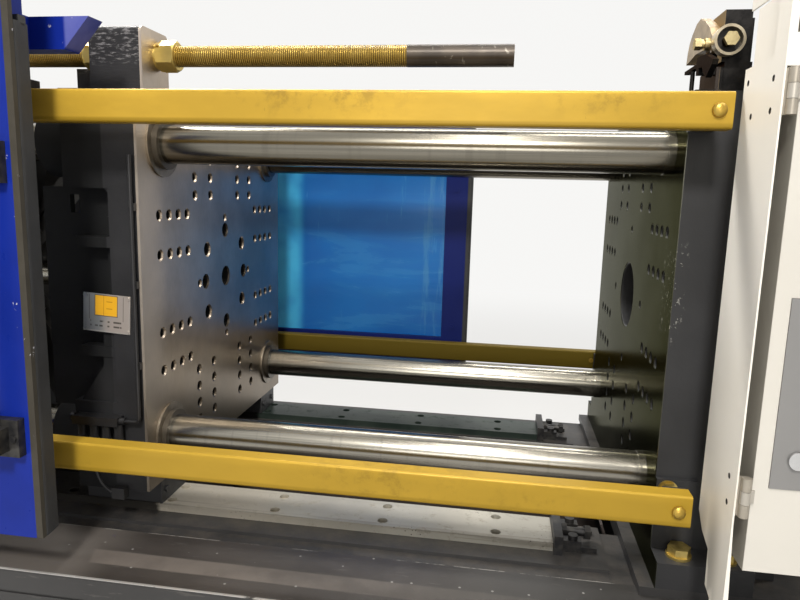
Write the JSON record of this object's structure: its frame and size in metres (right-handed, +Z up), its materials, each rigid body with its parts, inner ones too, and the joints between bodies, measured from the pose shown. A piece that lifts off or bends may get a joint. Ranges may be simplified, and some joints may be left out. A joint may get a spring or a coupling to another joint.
{
  "type": "injection moulding machine",
  "caption": "Horizontal injection moulding machine with a toggle clamp on tie bars, sliding safety gates, a hinged control housing and an injection unit with hopper",
  "frame": {"origin": "on the floor, under the middle of the bounding box", "axes": "+X along the machine from the clamp end to the injection end, +Y from the operator's side to the rear, +Z up"},
  "size_m": [4.9, 1.19, 2.01],
  "materials": {
    "casting": "dark grey enamel on cast iron",
    "bed_paint": "dark grey enamel",
    "machined": "oiled machined steel",
    "strip_steel": "ground steel with dirt specks",
    "chrome": "hard chrome",
    "gold_zinc": "yellow satin finish, a little worn",
    "gate_blue": "gloss blue enamel",
    "panel_white": "warm white enamel",
    "rubber_grey": "grey sealing profile",
    "black_part": "black plastic and blackened steel",
    "window_clear": "clear polycarbonate",
    "window_blue": "polycarbonate with blue protective film",
    "plate_silver": "bare aluminium",
    "latch_cream": "yellow passivated steel",
    "panel_grey": "grey panel",
    "red_part": "red button",
    "drive_blue": "blue enamel",
    "guard_yellow": "yellow enamel"
  },
  "bodies": {
    "frame": {"machine_bed": "bed_paint", "bed_covers": "bed_paint", "levelling_feet": "machined", "slide_strips": "strip_steel", "strip_stops": "black_part", "drop_chute": "bed_paint", "fixed_platen": "casting", "frame_bolts": "gold_zinc", "rear_platen": "casting", "tie_bars": "chrome", "tie_bar_nuts": "machined", "crosshead_guides": "chrome", "clamp_cylinder": "casting", "latch_bracket": "black_part", "gate_rails": "gold_zinc", "rail_brackets": "casting", "rail_bolts": "gold_zinc", "clamp_covers": "panel_white", "guard_post": "panel_white", "panel_hinges": "plate_silver", "carriage_cylinders": "machined", "hydraulic_unit": "bed_paint"},
    "moving_platen": {"moving_platen": "casting", "platen_shoes": "casting", "tie_bar_wipers": "machined", "ejector_unit": "casting", "safety_rod": "gold_zinc", "info_plate": "plate_silver", "lube_block": "casting"},
    "ejector": {"ejector_plate": "machined"},
    "rear_link_upper": {"rear_link_upper": "machined"},
    "rear_link_lower": {"rear_link_lower": "machined"},
    "front_link_upper": {"front_link_upper": "machined"},
    "front_link_lower": {"front_link_lower": "machined"},
    "cross_link_upper": {"cross_link_upper": "machined"},
    "cross_link_lower": {"cross_link_lower": "machined"},
    "crosshead": {"crosshead": "machined"},
    "latch_lever": {"latch_lever": "latch_cream"},
    "latch_roller": {"latch_roller": "latch_cream"},
    "front_gate": {"front_gate": "gate_blue", "front_gate_window": "window_clear", "front_gate_profile": "rubber_grey", "front_gate_glides": "black_part", "front_gate_handle": "black_part"},
    "rear_gate": {"rear_gate": "gate_blue", "rear_gate_window": "window_blue", "rear_gate_profile": "rubber_grey", "rear_gate_glides": "black_part"},
    "control_housing": {"control_housing": "panel_white", "control_panel": "panel_grey"},
    "panel_switch": {"panel_switch": "chrome"},
    "estop_button": {"estop_button": "red_part"},
    "carriage": {"carriage": "casting", "barrel": "machined", "barrel_cover": "panel_white", "hopper": "plate_silver"},
    "screw_drive": {"screw_drive": "drive_blue"},
    "screw": {"screw": "machined"},
    "hopper_lid": {"hopper_lid": "plate_silver"},
    "nozzle_guard": {"nozzle_guard": "guard_yellow"}
  },
  "joints": [
    {"name": "platen_slide", "type": "slide", "parent": "frame", "child": "moving_platen", "axis": [1, 0, 0], "range_m": [0, 0.41923]},
    {"name": "rear_link_upper_turn", "type": "hinge", "parent": "frame", "child": "rear_link_upper", "pos_m": [-1.45677, 0, 1.47001], "axis": [0, -1, 0], "range_deg": [0, 102]},
    {"name": "front_link_upper_turn", "type": "hinge", "parent": "rear_link_upper", "child": "front_link_upper", "pos_m": [-1.50999, 0, 1.2196], "axis": [0, 1, 0], "range_deg": [0, 149.43]},
    {"name": "cross_link_upper_turn", "type": "hinge", "parent": "rear_link_upper", "child": "cross_link_upper", "pos_m": [-1.55908, 0, 1.33424], "axis": [0, 1, 0], "range_deg": [0, 57.79]},
    {"name": "rear_link_lower_turn", "type": "hinge", "parent": "frame", "child": "rear_link_lower", "pos_m": [-1.45677, 0, 0.88999], "axis": [0, 1, 0], "range_deg": [0, 102]},
    {"name": "front_link_lower_turn", "type": "hinge", "parent": "rear_link_lower", "child": "front_link_lower", "pos_m": [-1.50999, 0, 1.1404], "axis": [0, -1, 0], "range_deg": [0, 149.43]},
    {"name": "cross_link_lower_turn", "type": "hinge", "parent": "rear_link_lower", "child": "cross_link_lower", "pos_m": [-1.55908, 0, 1.02576], "axis": [0, -1, 0], "range_deg": [0, 57.79]},
    {"name": "crosshead_slide", "type": "slide", "parent": "frame", "child": "crosshead", "axis": [1, 0, 0], "range_m": [0, 0.33048]},
    {"name": "latch_lever_turn", "type": "hinge", "parent": "frame", "child": "latch_lever", "pos_m": [-0.16, -0.287, 1.599], "axis": [1, 0, 0], "range_deg": [0, 60]},
    {"name": "latch_roller_turn", "type": "hinge", "parent": "frame", "child": "latch_roller", "pos_m": [-0.1492, -0.317, 1.598], "axis": [0, 1, 0], "continuous": true},
    {"name": "ejector_slide", "type": "slide", "parent": "moving_platen", "child": "ejector", "axis": [1, 0, 0], "range_m": [0, 0.08]},
    {"name": "front_gate_slide", "type": "slide", "parent": "frame", "child": "front_gate", "axis": [1, 0, 0], "range_m": [0, 0.94]},
    {"name": "rear_gate_slide", "type": "slide", "parent": "frame", "child": "rear_gate", "axis": [1, 0, 0], "range_m": [-0.5, 0.36]},
    {"name": "housing_hinge", "type": "hinge", "parent": "frame", "child": "control_housing", "pos_m": [-0.151, -0.566, 1.256], "axis": [0, 0, -1], "range_deg": [0, 100]},
    {"name": "panel_switch_turn", "type": "hinge", "parent": "control_housing", "child": "panel_switch", "pos_m": [-0.096, -0.562, 1.07], "axis": [0, 1, 0], "range_deg": [0, 90]},
    {"name": "estop_push", "type": "slide", "parent": "control_housing", "child": "estop_button", "axis": [0, 1, 0], "range_m": [0, 0.004], "stiffness_N_per_m": 400},
    {"name": "carriage_slide", "type": "slide", "parent": "frame", "child": "carriage", "axis": [1, 0, 0], "range_m": [-0.08, 0.2]},
    {"name": "screw_stroke", "type": "slide", "parent": "carriage", "child": "screw_drive", "axis": [1, 0, 0], "range_m": [0, 0.16]},
    {"name": "screw_turn", "type": "hinge", "parent": "screw_drive", "child": "screw", "pos_m": [1.2, 0, 1.18], "axis": [1, 0, 0], "continuous": true},
    {"name": "hopper_lid_hinge", "type": "hinge", "parent": "carriage", "child": "hopper_lid", "pos_m": [1.01, 0.204, 1.957], "axis": [-1, 0, 0], "range_deg": [0, 100]},
    {"name": "nozzle_guard_hinge", "type": "hinge", "parent": "frame", "child": "nozzle_guard", "pos_m": [0.012, 0, 1.366], "axis": [0, -1, 0], "range_deg": [0, 90]}
  ],
  "couplings": [
    {"joint": "rear_link_upper_turn", "follows": "platen_slide", "rad_per_m": 4.2464},
    {"joint": "front_link_upper_turn", "follows": "platen_slide", "rad_per_m": 6.221},
    {"joint": "cross_link_upper_turn", "follows": "platen_slide", "rad_per_m": 2.4059},
    {"joint": "rear_link_lower_turn", "follows": "platen_slide", "rad_per_m": 4.2464},
    {"joint": "front_link_lower_turn", "follows": "platen_slide", "rad_per_m": 6.221},
    {"joint": "cross_link_lower_turn", "follows": "platen_slide", "rad_per_m": 2.4059},
    {"joint": "crosshead_slide", "follows": "platen_slide", "ratio": 0.78828},
    {"joint": "latch_lever_turn", "follows": "platen_slide", "rad_per_m": 2.4979}
  ]
}
